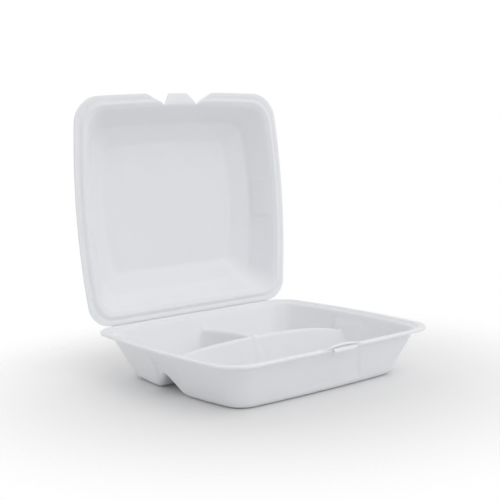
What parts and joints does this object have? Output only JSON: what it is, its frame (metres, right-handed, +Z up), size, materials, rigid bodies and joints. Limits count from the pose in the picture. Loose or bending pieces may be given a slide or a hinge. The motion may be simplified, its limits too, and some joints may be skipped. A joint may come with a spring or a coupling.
{
  "type": "hinged foam meal box",
  "caption": "White foam meal box with a hinged lid, bowed sides, a rolled rim with a tuck-in tab, and hollow dividers that split the tray into compartments.",
  "frame": {"origin": "middle of the base's outline, on the table plane under the floor", "axes": "+Z up, +Y to the hinge edge, +X along the hinge to the right as seen from the front"},
  "size_m": [0.2138, 0.2284, 0.2285],
  "materials": {
    "foam": "satin skin of pressed white foam sheet"
  },
  "bodies": {
    "tray": {"base": "foam"},
    "cover": {"lid": "foam"}
  },
  "joints": [
    {"name": "lid_hinge", "type": "hinge", "parent": "tray", "child": "cover", "pos_m": [0, 0.09515, 0.03865], "axis": [-1, 0, 0], "range_deg": [-92.5, 87.5]}
  ]
}
